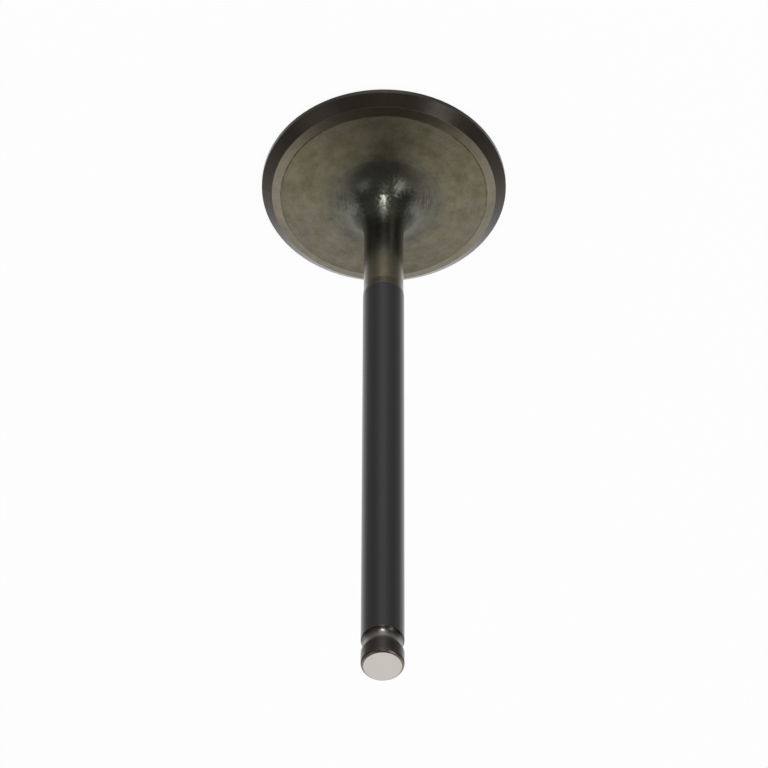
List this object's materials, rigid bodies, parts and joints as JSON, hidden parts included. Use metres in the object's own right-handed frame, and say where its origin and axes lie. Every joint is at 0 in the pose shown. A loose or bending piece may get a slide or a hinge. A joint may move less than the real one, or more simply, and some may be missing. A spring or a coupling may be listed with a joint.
{
  "type": "engine poppet valve",
  "caption": "Engine intake poppet valve: a round head with an angled seat face on a long ground stem, with a keeper groove near the tip, that opens and seals an engine's port.",
  "frame": {"origin": "centre of the combustion face, on the valve's axis; the valve stands on that face", "axes": "+Z along the stem's axis from the combustion face to the tip; X and Y are any two square directions, because the valve is round"},
  "size_m": [0.036, 0.036, 0.1027],
  "materials": {
    "valve_steel": "black nitrided and ground stem, khaki-brown oxide on the forged back and neck, dark satin seat face, bright ground tip"
  },
  "bodies": {
    "root": {"valve": "valve_steel"}
  },
  "joints": []
}
